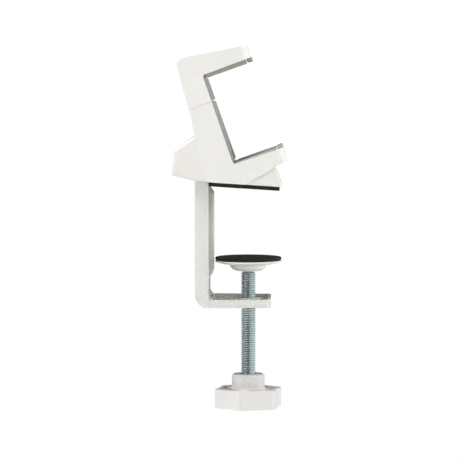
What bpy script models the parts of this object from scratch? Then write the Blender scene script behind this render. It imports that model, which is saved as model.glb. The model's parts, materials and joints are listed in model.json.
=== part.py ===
"""Clamp-on table stand with a sprung, C-shaped cradle, modelled as the pieces it comes apart into.

Sizes below are in millimetres and angles in degrees; every mesh is built in metres.
+Z is the axis of the clamp screw, +X is the way both mouths open, and the stand is
symmetric about Y = 0. The origin is on the underside of the table pads, on the screw's axis.
"""
import math

import bmesh
import bpy
from mathutils import Matrix, Vector

MM = 0.001
GAP = 0.3                       # clearance between two pieces that touch
EASE = 0.45                     # clearance round a piece that slides

# Cradle: u runs out along the jaws, v up the spine, both from the lower inner corner.
CRADLE_TILT = 19.5
CRADLE_CORNER = (-7.8, 13.1)    # X and Z of the lower inner corner
CRADLE_WIDTH = 54.0
MOUTH = 51.0                    # bare jaw face to bare jaw face
JAW_REACH = 28.3
JAW_TIP_HEIGHT = 6.8
UPPER_ROOT_HEIGHT = 13.1        # upper jaw's height over the spine
SPINE_DEPTH = 12.9              # at the parting line
PARTING = 35.8                  # v of the line between the fixed and the sliding part
TIP_ROUNDING = 4.3              # in plan
HEEL_ROUNDING = 5.7
INNER_FILLET = 1.2

# Housing under the cradle.
BASE_TILT = 3.78                # table face, which the clamp force flattens
BUTTRESS_TOP = (-39.7, 21.2)    # X and Z of the rear corners
BUTTRESS_FOOT = (-41.7, 7.0)
BUTTRESS_CREST = (-28.8, 28.5)
BUTTRESS_CREASE_FOOT = (-22.2, 3.7)
BUTTRESS_BEND = 4.1             # Z of its underside, where the bracket's bar stands
BUTTRESS_NARROWING = 8.0        # each side, at the rear end
WALL = 2.2
WEDGE_TOP = (14.4, 13.8)
WEDGE_FOOT_X = 18.2
WEDGE_SLOPE = 0.31              # of its front face, X for each millimetre down
WEDGE_STEP = 1.2                # each side, in from the cradle's side face

# Bracket.
BRACKET_STEP = 5.0              # each side, in from the cradle's side face
BAR_DEPTH = 7.4
ARM_THICKNESS = 3.2
ARM_END = 16.5
ARM_RIM = 5.0                   # each side, housing rim beside the front of the arm
FOOT_BOTTOM = -65.0
FOOT_HEIGHT = 4.4
FOOT_END = 12.4
FOOT_NARROWING = 2.6            # each side, at the tip
HEEL_RADIUS = 7.3
TROUGH_DEPTH = 2.7
TROUGH_WALL = 1.7
BOSS_RADIUS = 7.0
RIB_HEIGHT = 2.45
RIB_WIDTH = 18.0
DISC_CLEARANCE = 0.75           # from the rib's face to the pressure disc's edge
RIB_TOP = 0.5
RIB_BOTTOM = -49.8
RIB_CHAMFER = 3.6
GUSSET = 3.8

# Pads.
PAD_THICKNESS = 0.7             # lining of the spine and the lower jaw, above the moulding
UPPER_PAD_THICKNESS = 1.8
PAD_MARGIN = 1.6                # each side, in from the cradle's side face
LIP_DEPTH = 2.5                 # along the jaw
LIP_RIB = 0.9
PAD_EDGE = 0.2
TABLE_PAD_THICKNESS = 1.95
TABLE_PAD_GAP = 0.4
TABLE_PAD_MARGIN = 2.0
PAD_SPLIT = -1.6                # X of the gap between the two table pads

# Slider, springs and their pins.
SLIDER_DEPTH = 7.3              # behind the spine's inner face, to the middle of the plate
SLIDER_THICKNESS = 3.4
SLIDER_CLEARANCE = 2.3          # from the slider's edge to the springs
SPRING_INSET = 9.0              # spring's axis, in from the cradle's side face
SPRING_RADIUS = 2.1             # to the middle of the wire
SPRING_WIRE = 0.7
SPRING_TURNS = 12
PIN_RADIUS = 1.25
PIN_LOW = 3.0                   # v of the lower pin
PIN_ABOVE_PARTING = 4.8
PIN_INSET = 4.0                 # pin's end, in from the cradle's side face

# Screws inside the stand.
SCREW_SHANK = 1.7
SCREW_HEAD = 2.8
SCREW_HEAD_HEIGHT = 1.4
ARM_SCREW_LENGTH = 6.5
ARM_SCREW_RECESS = 0.3          # head below the arm's underside
SLIDER_SCREW_LENGTH = 6.2
SLIDER_SCREW_RECESS = 0.7       # head below the spine's face
ARM_SCREW_REAR_X = -8.0
ARM_SCREW_FRONT_X = 9.5
ARM_SCREW_REAR_INSET = 8.0      # from the arm's side edge
ARM_SCREW_FRONT_INSET = 6.5
SLIDER_SCREW_INSET = 5.0        # from the slider's side edge
SLIDER_SCREW_DROP = 5.8         # below the upper inner corner

# Clamp screw, knob and pressure pad.
THREAD_RADIUS = 4.0
BALL_RADIUS = 3.0
BALL_COVER = 0.77               # share of the ball's radius that the dome covers below its centre
NECK_RADIUS = 1.6
PLATE_SKIN = 0.4                # over the ball's socket
DISC_TOP = -38.5
DISC_THICKNESS = 1.5
DISC_RADIUS = 18.2
FLANGE_THICKNESS = 1.1
DOME_RADIUS = 10.2
KNOB_TOP = -111.2
KNOB_BOTTOM = -121.6
KNOB_RADIUS = 19.2              # to the rounded corners
KNOB_CORNER = 2.6               # rounding of the corners
KNOB_HOLLOW = 0.8               # how far each side curves in
KNOB_TURN = 17.4
KNOB_POCKET = 5.0
HUB_RADIUS = 9.0
HUB_TOP = -103.1
HEAD_ACROSS_FLATS = 13.0
HEAD_HEIGHT = 5.3
CAP_THICKNESS = 1.1

HALF = CRADLE_WIDTH / 2
BRACKET_HALF = HALF - BRACKET_STEP
WEDGE_HALF = HALF - WEDGE_STEP
ARM_FRONT_HALF = WEDGE_HALF - ARM_RIM
BAR_FRONT = -(DISC_RADIUS + DISC_CLEARANCE + RIB_HEIGHT)
BAR_BACK = BAR_FRONT - BAR_DEPTH
FOOT_TOP = FOOT_BOTTOM + FOOT_HEIGHT
BASE = TABLE_PAD_THICKNESS + GAP        # housing rim above the pads' undersides
ARM_TOP = BASE + ARM_THICKNESS
PAD_FACE = GAP + PAD_THICKNESS          # lining's face above the bare jaw
UPPER_PAD_FACE = GAP + UPPER_PAD_THICKNESS
SPRING_SIDE = HALF - SPRING_INSET
SLIDER_WIDTH = 2 * (SPRING_SIDE - SPRING_RADIUS - SPRING_WIRE / 2 - SLIDER_CLEARANCE)
SLIDER_BOTTOM = PIN_LOW + PIN_RADIUS + 2.25
SLIDER_TOP = MOUTH - 0.5
PIN_HIGH = PARTING + PIN_ABOVE_PARTING
PIN_HALF_LENGTH = HALF - PIN_INSET
ARM_SCREWS = ((ARM_SCREW_REAR_X, BRACKET_HALF - ARM_SCREW_REAR_INSET),
              (ARM_SCREW_FRONT_X, ARM_FRONT_HALF - ARM_SCREW_FRONT_INSET))
SLIDER_SCREW_SIDE = SLIDER_WIDTH / 2 - SLIDER_SCREW_INSET
SLIDER_SCREW_HEIGHT = MOUTH - SLIDER_SCREW_DROP
PLATE_TOP = DISC_TOP - DISC_THICKNESS - GAP
BALL_CENTRE = PLATE_TOP - PLATE_SKIN - GAP - BALL_RADIUS
DOME_BOTTOM = BALL_CENTRE - BALL_COVER * BALL_RADIUS
SCREW_HEAD_TOP = KNOB_BOTTOM + CAP_THICKNESS + 0.5 + HEAD_HEIGHT
FAR = 90.0                              # past the whole part

TABLE = Matrix.Rotation(math.radians(BASE_TILT), 4, "Y")
SIDE = Matrix.Rotation(math.radians(90), 4, "X")       # outline's second axis upright
CRADLE = (Matrix.Translation((CRADLE_CORNER[0] * MM, 0, CRADLE_CORNER[1] * MM))
          @ Matrix.Rotation(math.radians(-CRADLE_TILT), 4, "Y"))


def new_collection(name):
    collection = bpy.data.collections.new(name)
    bpy.context.scene.collection.children.link(collection)
    return collection


for leftover in list(bpy.data.objects):
    bpy.data.objects.remove(leftover, do_unlink=True)
PARTS = new_collection("clamp_on_cradle_stand")
CUTTERS = new_collection("cutters")


# ---------------------------------------------------------------- shapes
def place(mesh, name, matrix):
    shape = bpy.data.objects.new(name, mesh)
    shape.matrix_world = matrix
    PARTS.objects.link(shape)
    return shape


def from_bmesh(name, solid, matrix):
    """Turn a closed bmesh in millimetres into an object in metres."""
    bmesh.ops.remove_doubles(solid, verts=solid.verts, dist=0.0001)
    bmesh.ops.recalc_face_normals(solid, faces=solid.faces)
    bmesh.ops.scale(solid, vec=(MM, MM, MM), verts=solid.verts)
    mesh = bpy.data.meshes.new(name)
    solid.to_mesh(mesh)
    solid.free()
    return place(mesh, name, matrix)


def box(name, low, high, matrix=Matrix()):
    solid = bmesh.new()
    bmesh.ops.create_cube(solid, size=1)
    size = Vector(high) - Vector(low)
    bmesh.ops.scale(solid, vec=size, verts=solid.verts)
    bmesh.ops.translate(solid, vec=Vector(low) + size / 2, verts=solid.verts)
    return from_bmesh(name, solid, matrix)


def rod(name, radius, low, high, matrix=Matrix(), sides=32):
    """Cylinder along the frame's Z axis."""
    solid = bmesh.new()
    bmesh.ops.create_cone(solid, cap_ends=True, segments=sides, radius1=radius,
                          radius2=radius, depth=high - low)
    bmesh.ops.translate(solid, vec=(0, 0, (low + high) / 2), verts=solid.verts)
    return from_bmesh(name, solid, matrix)


def meshed(shape, name, matrix):
    """Replace a curve or modified object by the closed mesh it makes."""
    bpy.context.view_layer.update()
    evaluated = shape.evaluated_get(bpy.context.evaluated_depsgraph_get())
    mesh = bpy.data.meshes.new_from_object(evaluated)
    bpy.data.objects.remove(shape)
    solid = bmesh.new()
    solid.from_mesh(mesh)
    bmesh.ops.remove_doubles(solid, verts=solid.verts, dist=0.000001)
    bmesh.ops.recalc_face_normals(solid, faces=solid.faces)
    solid.to_mesh(mesh)
    solid.free()
    return place(mesh, name, matrix)


def extruded(name, outline, low, high, matrix=Matrix()):
    """Flat outline in the frame's XY plane, drawn out along its Z from low to high."""
    curve = bpy.data.curves.new(name, "CURVE")
    curve.dimensions = "2D"
    curve.fill_mode = "BOTH"
    curve.extrude = (high - low) / 2 * MM
    spline = curve.splines.new("POLY")
    spline.points.add(len(outline) - 1)
    for point, (a, b) in zip(spline.points, outline):
        point.co = (a * MM, b * MM, 0, 1)
    spline.use_cyclic_u = True
    shape = bpy.data.objects.new(name + "_outline", curve)
    PARTS.objects.link(shape)
    middle = Matrix.Translation((0, 0, (low + high) / 2 * MM))
    return meshed(shape, name, matrix @ middle)


def turned(name, profile, matrix=Matrix(), steps=48):
    """Solid of revolution about Z; the profile's (radius, z) points run from top to bottom."""
    mesh = bpy.data.meshes.new(name)
    points = [(radius * MM, 0, z * MM) for radius, z in profile]
    mesh.from_pydata(points, [(i, i + 1) for i in range(len(points) - 1)], [])
    shape = bpy.data.objects.new(name + "_profile", mesh)
    PARTS.objects.link(shape)
    screw = shape.modifiers.new("turn", "SCREW")
    screw.steps = screw.render_steps = steps
    screw.use_merge_vertices = True
    screw.merge_threshold = 0.00001
    return meshed(shape, name, matrix)


def rounded(corners, steps=5):
    """Closed outline whose (a, b, radius) corners become arcs; a bare (a, b) stays sharp."""
    outline = []
    for index, corner in enumerate(corners):
        here = Vector(corner[:2])
        if len(corner) == 2:
            outline.append(tuple(here))
            continue
        radius = corner[2]
        back = (Vector(corners[index - 1][:2]) - here).normalized()
        ahead = (Vector(corners[(index + 1) % len(corners)][:2]) - here).normalized()
        half = back.angle(ahead) / 2
        centre = here + (back + ahead).normalized() * radius / math.sin(half)
        start = here + back * radius / math.tan(half) - centre
        sweep = start.angle_signed(here + ahead * radius / math.tan(half) - centre)
        for step in range(steps + 1):
            turn = Matrix.Rotation(-sweep * step / steps, 2)
            outline.append(tuple(centre + turn @ start))
    return outline


def inset(outline, distance):
    """Move every edge of a convex outline inwards by the same distance."""
    centre = sum((Vector(point) for point in outline), Vector((0, 0))) / len(outline)
    lines = []
    for index, point in enumerate(outline):
        start, end = Vector(outline[index - 1]), Vector(point)
        along = (end - start).normalized()
        inward = Vector((-along.y, along.x))
        if inward.dot(centre - start) < 0:
            inward.negate()
        lines.append((start + inward * distance, along))
    moved = []
    for index, (start, along) in enumerate(lines):
        other, other_along = lines[(index + 1) % len(lines)]
        reach = (other - start).cross(other_along) / along.cross(other_along)
        moved.append(tuple(start + along * reach))
    return moved


# ---------------------------------------------------------------- joining and cutting
def boolean(target, operation, tools):
    for tool in tools:
        step = target.modifiers.new(operation.lower(), "BOOLEAN")
        step.operation = operation
        step.object = tool
        step.solver = "EXACT"
        tool.hide_render = True
        tool.display_type = "WIRE"
        PARTS.objects.unlink(tool)
        CUTTERS.objects.link(tool)
    return target


def cut(target, *tools):
    return boolean(target, "DIFFERENCE", tools)


def join(target, *tools):
    return boolean(target, "UNION", tools)


def keep(target, *tools):
    return boolean(target, "INTERSECT", tools)


def soften(shape, width, segments=1):
    bevel = shape.modifiers.new("edges", "BEVEL")
    bevel.width = width * MM
    bevel.segments = segments
    bevel.limit_method = "ANGLE"
    bevel.angle_limit = math.radians(40)
    return shape


# ---------------------------------------------------------------- materials
def finish(name, colour, roughness, metallic=0.0):
    material = bpy.data.materials.new(name)
    material.use_nodes = True
    shader = material.node_tree.nodes["Principled BSDF"]
    shader.inputs["Base Color"].default_value = (*colour, 1)
    shader.inputs["Roughness"].default_value = roughness
    shader.inputs["Metallic"].default_value = metallic
    return material


def paint(shape, look):
    """Give the piece a material of its own, with its group's colour and finish."""
    colour, roughness, metallic = LOOKS[look]
    shape.data.materials.clear()
    shape.data.materials.append(finish(shape.name, colour, roughness, metallic))
    return shape


LOOKS = {
    "moulding": ((0.80, 0.80, 0.78), 0.45, 0.0),
    "bracket": ((0.78, 0.78, 0.75), 0.40, 0.0),
    "lining": ((0.36, 0.36, 0.34), 0.85, 0.0),
    "rubber": ((0.03, 0.03, 0.03), 0.90, 0.0),
    "zinc": ((0.60, 0.66, 0.68), 0.30, 1.0),
    "steel": ((0.55, 0.55, 0.56), 0.35, 1.0),
    "slider": ((0.62, 0.62, 0.60), 0.50, 0.0),
}


# ---------------------------------------------------------------- cradle and housing
def cradle_plan(name):
    """The cradle seen along its spine, with the jaw tips rounded, as a tall solid."""
    tip = JAW_REACH + 0.5
    corners = [(-FAR, -HALF), (tip, -HALF, TIP_ROUNDING), (tip, HALF, TIP_ROUNDING), (-FAR, HALF)]
    return extruded(name, rounded(corners), -FAR, FAR, CRADLE)


def along_cradle(name, outline, half, margin=0.0):
    """Outline in u and v, drawn out evenly to both sides."""
    return extruded(name, outline, -half - margin, half + margin, CRADLE @ SIDE)


def lip_rib(name, v_low, v_high):
    """Thin rib between a jaw's pad and the lip piece at its tip."""
    start = JAW_REACH - LIP_DEPTH - LIP_RIB
    return box(name, (start, -HALF + PAD_MARGIN, v_low),
               (start + LIP_RIB - GAP, HALF - PAD_MARGIN, v_high), CRADLE)


def buttress(name, thickness):
    """Rear swelling of the housing, or with a thickness its hollow."""
    crease_foot = BUTTRESS_CREASE_FOOT
    side = [BUTTRESS_CREST, BUTTRESS_TOP, BUTTRESS_FOOT, (BAR_BACK, BUTTRESS_BEND), crease_foot]
    if thickness:
        side = inset(side, thickness)
        side[2] = (side[2][0], -2.0)
        side[3] = (side[3][0], -2.0)
    lean = math.atan2(crease_foot[0] - BUTTRESS_CREST[0], BUTTRESS_CREST[1] - crease_foot[1])
    crease = (Matrix.Translation((crease_foot[0] * MM, 0, crease_foot[1] * MM))
              @ Matrix.Rotation(-lean, 4, "Y"))
    reach = crease_foot[0] - BUTTRESS_FOOT[0]
    half, end = HALF - thickness, HALF - thickness - BUTTRESS_NARROWING
    plan = [(0, -half), (0, half), (-reach, end), (-reach, -end)]
    body = extruded(name, side, -HALF, HALF, SIDE)
    return keep(body, extruded(name + "_plan", plan, -FAR, FAR, crease))


def wedge():
    """Block under the lower jaw; its back and its foot are lost in the housing and in the cut."""
    bottom = -6
    front = WEDGE_TOP[0] + WEDGE_SLOPE * (WEDGE_TOP[1] - bottom)
    corners = [(-12, bottom), (-12, 8), WEDGE_TOP, (front, bottom)]
    return extruded("wedge_block", corners, -WEDGE_HALF, WEDGE_HALF, SIDE)


def arm_outline(clearance=0.0):
    """Plan of the bracket's top arm, wide over the rear pad and narrow over the front one."""
    rear, front = BRACKET_HALF + clearance, ARM_FRONT_HALF + clearance
    step, end, back = PAD_SPLIT + clearance, ARM_END + clearance, BAR_BACK - clearance
    return [(back, -rear), (step, -rear), (step, -front), (end, -front),
            (end, front), (step, front), (step, rear), (back, rear)]


def arm_screw_frames():
    """Places of the four screws that hold the housing on the arm, in the table frame."""
    for x, y in ARM_SCREWS:
        for side in (-1, 1):
            yield TABLE @ Matrix.Translation((x * MM, side * y * MM, 0))


def slider_screw_frames():
    """Places of the two screws that hold the slider; Z points out of the spine's face."""
    for side in (-SLIDER_SCREW_SIDE, SLIDER_SCREW_SIDE):
        yield (CRADLE @ Matrix.Translation((0, side * MM, SLIDER_SCREW_HEIGHT * MM))
               @ Matrix.Rotation(math.radians(90), 4, "Y"))


def slider_slot(name, low, high):
    reach, half = SLIDER_THICKNESS / 2 + GAP, SLIDER_WIDTH / 2 + EASE
    return box(name, (-SLIDER_DEPTH - reach, -half, low), (-SLIDER_DEPTH + reach, half, high), CRADLE)


def spring_channels(name, low, high):
    radius = SPRING_RADIUS + SPRING_WIRE / 2 + EASE
    for side in (-1, 1):
        frame = CRADLE @ Matrix.Translation((-SLIDER_DEPTH * MM, side * SPRING_SIDE * MM, 0))
        yield rod(f"{name}_{side}", radius, low, high, frame, 24)


def pin_frame(height):
    """A pin lies along Y, level with the slider's middle."""
    return CRADLE @ Matrix.Translation((-SLIDER_DEPTH * MM, 0, height * MM)) @ SIDE


def pin_bore(name, height):
    reach = PIN_HALF_LENGTH + GAP
    return rod(name, PIN_RADIUS + GAP, -reach, reach, pin_frame(height), 20)


def holder_body():
    """Lower jaw, lower spine and housing in one moulding."""
    split = PARTING - GAP / 2
    corners = [(0, 0, INNER_FILLET), (JAW_REACH + 0.4, -0.5, 1.5),
               (JAW_REACH - 0.4, -0.4 - JAW_TIP_HEIGHT, 1.5), (-2.0, -13.2), (-17.1, -10.3),
               (-14.7, 21.5), (-SPINE_DEPTH + 0.4, split), (0.25, split)]
    body = along_cradle("holder_body", rounded(corners), HALF)
    keep(body, cradle_plan("lower_plan"))
    join(body, lip_rib("lower_lip_rib", -2, PAD_FACE), wedge(), buttress("buttress_block", 0))
    below = box("below_housing", (-36, -FAR, -FAR), (FAR, FAR, BASE), TABLE)
    pocket = extruded("arm_pocket", arm_outline(GAP), -8, ARM_TOP + GAP, TABLE)
    cut(body, below, pocket, buttress("buttress_hollow", WALL))
    cut(body, slider_slot("lower_slot", SLIDER_BOTTOM - 1.5, PARTING + 1))
    cut(body, *spring_channels("lower_channel", PIN_LOW - 3.2, PARTING + 1))
    cut(body, pin_bore("lower_pin_bore", PIN_LOW))
    depth = BASE + SCREW_HEAD_HEIGHT + ARM_SCREW_LENGTH + 1
    for frame in arm_screw_frames():
        cut(body, rod("arm_screw_bore", SCREW_SHANK + GAP, ARM_TOP - 1, depth, frame, 20))
    return paint(body, "moulding")


def upper_jaw():
    split, corner_v = PARTING + GAP / 2, MOUTH + UPPER_ROOT_HEIGHT
    corners = [(0.25, split), (0.4, MOUTH, INNER_FILLET), (JAW_REACH - 0.6, MOUTH + 0.4, 1.5),
               (JAW_REACH, MOUTH + 0.4 + JAW_TIP_HEIGHT, 1.5),
               (-SPINE_DEPTH + 2.1, corner_v, HEEL_ROUNDING), (-SPINE_DEPTH, split)]
    jaw = along_cradle("upper_jaw", rounded(corners), HALF)
    keep(jaw, cradle_plan("upper_plan"))
    join(jaw, lip_rib("upper_lip_rib", MOUTH - UPPER_PAD_FACE + 0.9, MOUTH + 2))
    cut(jaw, slider_slot("upper_slot", PARTING - 1, SLIDER_TOP + GAP))
    cut(jaw, *spring_channels("upper_channel", PARTING - 1, PIN_HIGH + 3.2))
    cut(jaw, pin_bore("upper_pin_bore", PIN_HIGH))
    for frame in slider_screw_frames():
        cut(jaw, rod("slider_head_bore", SCREW_HEAD + GAP, -2.4, 3, frame, 20),
            rod("slider_shank_bore", SCREW_SHANK + GAP, -SLIDER_DEPTH, 0, frame, 20))
    return paint(jaw, "moulding")


def jaw_slider():
    half = SLIDER_THICKNESS / 2
    plate = box("jaw_slider", (-SLIDER_DEPTH - half, -SLIDER_WIDTH / 2, SLIDER_BOTTOM),
                (-SLIDER_DEPTH + half, SLIDER_WIDTH / 2, SLIDER_TOP), CRADLE)
    cut(plate, pin_bore("slider_pin_bore", PIN_HIGH))
    for frame in slider_screw_frames():
        cut(plate, rod("slider_pilot", SCREW_SHANK + GAP, -FAR / 4, 0, frame, 20))
    return paint(plate, "slider")


# ---------------------------------------------------------------- lining and table pads
def pads():
    half = HALF - PAD_MARGIN
    inner = JAW_REACH - LIP_DEPTH - LIP_RIB - GAP
    low_corner, high_corner = PAD_FACE + 0.9, UPPER_PAD_FACE + 0.2
    split = PARTING - 0.5
    layout = {
        "lower_back_pad": ((GAP + 0.25, low_corner), (PAD_FACE + 0.25, split)),
        "lower_jaw_pad": ((low_corner, GAP), (inner, PAD_FACE)),
        "lower_lip_pad": ((JAW_REACH - LIP_DEPTH, GAP), (JAW_REACH, PAD_FACE)),
        "upper_back_pad": ((GAP + 0.4, PARTING + 0.5), (PAD_FACE + 0.4, MOUTH - high_corner)),
        "upper_jaw_pad": ((PAD_FACE + 0.8, MOUTH - UPPER_PAD_FACE), (inner, MOUTH - GAP)),
        "upper_lip_pad": ((JAW_REACH - LIP_DEPTH, MOUTH - UPPER_PAD_FACE + 0.2), (JAW_REACH, MOUTH - GAP)),
    }
    for name, ((u_low, v_low), (u_high, v_high)) in layout.items():
        side = half - TIP_ROUNDING / 2 if "lip" in name else half
        pad = box(name, (u_low, -side, v_low), (u_high, side, v_high), CRADLE)
        paint(soften(pad, PAD_EDGE), "lining")


def table_pads():
    edges = {
        "table_pad_rear": (BAR_FRONT + 0.75, PAD_SPLIT - TABLE_PAD_GAP / 2, HALF - TABLE_PAD_MARGIN),
        "table_pad_front": (PAD_SPLIT + TABLE_PAD_GAP / 2, WEDGE_FOOT_X - 1.1, WEDGE_HALF - TABLE_PAD_MARGIN),
    }
    for name, (back, front, half) in edges.items():
        pad = box(name, (back, -half, 0), (front, half, TABLE_PAD_THICKNESS), TABLE)
        paint(soften(pad, 0.3), "rubber")


# ---------------------------------------------------------------- springs, pins and small screws
def tension_spring(name, side):
    """Coil with an open hook at each end, round the two pins."""
    hook = SPRING_RADIUS
    low, high = PIN_LOW + 2.6 * hook, PIN_HIGH - 2.6 * hook
    per_turn = 9
    points = [(hook * math.cos(angle), 0, PIN_LOW + hook * math.sin(angle))
              for angle in (math.radians(-180 + 30 * step) for step in range(6))]
    for step in range(SPRING_TURNS * per_turn + 1):
        angle = 2 * math.pi * step / per_turn
        height = low + (high - low) * step / (SPRING_TURNS * per_turn)
        points.append((hook * math.cos(angle), hook * math.sin(angle), height))
    for step in range(1, 7):
        angle = math.radians(30 * step)
        points.append((hook * math.cos(angle), 0, PIN_HIGH + hook * math.sin(angle)))
    curve = bpy.data.curves.new(name, "CURVE")
    curve.dimensions = "3D"
    curve.bevel_depth = SPRING_WIRE / 2 * MM
    curve.bevel_resolution = 2
    curve.use_fill_caps = True
    spline = curve.splines.new("POLY")
    spline.points.add(len(points) - 1)
    for point, place_mm in zip(spline.points, points):
        point.co = (*(value * MM for value in place_mm), 1)
    wire = bpy.data.objects.new(name + "_wire", curve)
    PARTS.objects.link(wire)
    frame = CRADLE @ Matrix.Translation((-SLIDER_DEPTH * MM, side * SPRING_SIDE * MM, 0))
    return paint(meshed(wire, name, frame), "steel")


def spring_pin(name, height):
    pin = rod(name, PIN_RADIUS, -PIN_HALF_LENGTH, PIN_HALF_LENGTH, pin_frame(height), 20)
    return paint(pin, "steel")


def small_screw(name, head_top, length, frame, sign):
    """Pan-head screw along the frame's Z; sign tells which way its shank points."""
    head_end = head_top + sign * SCREW_HEAD_HEIGHT
    tip = head_end + sign * length
    profile = [(0, head_top), (SCREW_HEAD, head_top), (SCREW_HEAD, head_end),
               (SCREW_SHANK, head_end), (SCREW_SHANK, tip), (0, tip)]
    if sign > 0:
        profile.reverse()
    screw = turned(name, profile, frame, 20)
    slot = box(name + "_slot", (-FAR, -0.4, head_top - 0.6), (FAR, 0.4, head_top + 0.6), frame)
    return paint(cut(screw, slot), "zinc")


# ---------------------------------------------------------------- bracket
def clamp_bracket():
    heel = [(FOOT_END, FOOT_BOTTOM, 1.2), (BAR_BACK, FOOT_BOTTOM, HEEL_RADIUS), (BAR_BACK, 6.2),
            (BAR_FRONT, 6.2), (BAR_FRONT, FOOT_TOP, 1.0), (FOOT_END, FOOT_TOP, 0.8)]
    bracket = extruded("clamp_bracket", rounded(heel), -BRACKET_HALF, BRACKET_HALF, SIDE)
    tip = BRACKET_HALF - FOOT_NARROWING
    plan = [(BAR_BACK - 1, -BRACKET_HALF), (BAR_FRONT, -BRACKET_HALF), (FOOT_END, -tip, 3.0),
            (FOOT_END, tip, 3.0), (BAR_FRONT, BRACKET_HALF), (BAR_BACK - 1, BRACKET_HALF)]
    keep(bracket, extruded("bracket_plan", rounded(plan), -FAR, FAR))
    arm = extruded("bracket_arm", arm_outline(), BASE, ARM_TOP, TABLE)
    rib_face = BAR_FRONT + RIB_HEIGHT
    rib_corners = [(BAR_FRONT - 1, RIB_TOP), (BAR_FRONT, RIB_TOP), (rib_face, RIB_TOP - RIB_CHAMFER),
                   (rib_face, RIB_BOTTOM + RIB_CHAMFER), (BAR_FRONT, RIB_BOTTOM), (BAR_FRONT - 1, RIB_BOTTOM)]
    rib = extruded("bracket_rib", rib_corners, -RIB_WIDTH / 2, RIB_WIDTH / 2, SIDE)
    boss = rod("screw_boss", BOSS_RADIUS, FOOT_BOTTOM - 0.4, FOOT_TOP - 0.2)
    trough = [(BAR_FRONT + 2.0, -BRACKET_HALF + TROUGH_WALL, 1.0),
              (FOOT_END - TROUGH_WALL, -tip + TROUGH_WALL, 1.5),
              (FOOT_END - TROUGH_WALL, tip - TROUGH_WALL, 1.5),
              (BAR_FRONT + 2.0, BRACKET_HALF - TROUGH_WALL, 1.0)]
    cut(bracket, extruded("foot_trough", rounded(trough), FOOT_TOP - TROUGH_DEPTH, FOOT_TOP + 1))
    join(bracket, arm, rib, boss)
    gusset = [(BAR_FRONT - 0.5, FOOT_TOP - TROUGH_DEPTH - 0.5), (BAR_FRONT - 0.5, FOOT_TOP + GUSSET),
              (BAR_FRONT + GUSSET, FOOT_TOP - TROUGH_DEPTH - 0.5)]
    for place_y in (-1, 1):
        y = place_y * (BRACKET_HALF - 5.0)
        join(bracket, extruded("corner_gusset", gusset, -y - 1, -y + 1, SIDE))
    cut(bracket, rod("screw_hole", THREAD_RADIUS + GAP, FOOT_BOTTOM - 2, FOOT_TOP + 2))
    for frame in arm_screw_frames():
        cut(bracket, rod("arm_shank_hole", SCREW_SHANK + GAP, BASE - 1, ARM_TOP + 1, frame, 20),
            rod("arm_head_hole", SCREW_HEAD + GAP, BASE - 1, BASE + SCREW_HEAD_HEIGHT + 2 * GAP, frame, 20))
    return paint(bracket, "bracket")


# ---------------------------------------------------------------- clamp screw, pressure pad and knob
def clamp_screw():
    shoulder = DOME_BOTTOM - 0.6
    profile = [(0, BALL_CENTRE + 1.6), (NECK_RADIUS, BALL_CENTRE + 1.6), (NECK_RADIUS, shoulder),
               (THREAD_RADIUS - 0.7, shoulder), (THREAD_RADIUS - 0.05, shoulder - 0.7),
               (THREAD_RADIUS - 0.05, SCREW_HEAD_TOP - 1), (0, SCREW_HEAD_TOP - 1)]
    screw = turned("clamp_screw", profile, steps=32)
    head = rod("hex_head", HEAD_ACROSS_FLATS / math.sqrt(3), SCREW_HEAD_TOP - HEAD_HEIGHT, SCREW_HEAD_TOP,
               sides=6)
    return paint(join(screw, head), "zinc")


def swivel_ball(frame):
    ball = bmesh.new()
    bmesh.ops.create_uvsphere(ball, u_segments=32, v_segments=16, radius=BALL_RADIUS)
    shape = from_bmesh("swivel_ball", ball, frame)
    return paint(cut(shape, rod("neck_bore", NECK_RADIUS + GAP, -FAR, 1.9, frame, 24)), "zinc")


def pressure_plate(frame):
    """Dish with a snap-in socket; heights are from the ball's centre."""
    top = PLATE_TOP - BALL_CENTRE
    rim = top - FLANGE_THICKNESS
    bottom = DOME_BOTTOM - BALL_CENTRE
    profile = [(0, top), (DISC_RADIUS - 0.2, top), (DISC_RADIUS, top - 0.3), (DISC_RADIUS - 0.3, rim),
               (DOME_RADIUS + 4.0, rim - 0.9), (DOME_RADIUS, rim - 1.4)]
    for step in range(1, 7):
        angle = math.radians(15 * step)
        drop = (rim - 1.4 - bottom) * math.sin(angle)
        profile.append((4.6 + (DOME_RADIUS - 4.6) * math.cos(angle), rim - 1.4 - drop))
    profile.append((0, bottom))
    plate = turned("pressure_plate", profile, frame)
    socket = bmesh.new()
    bmesh.ops.create_uvsphere(socket, u_segments=32, v_segments=16, radius=BALL_RADIUS + GAP)
    cut(plate, from_bmesh("ball_socket", socket, frame))
    cut(plate, rod("socket_mouth", NECK_RADIUS + 0.9, bottom - 1, 0, frame, 24))
    return paint(plate, "moulding")


def pressure_disc(frame):
    top = DISC_TOP - BALL_CENTRE
    disc = rod("pressure_disc", DISC_RADIUS, top - DISC_THICKNESS, top, frame, 48)
    return paint(soften(disc, 0.35), "rubber")


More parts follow.
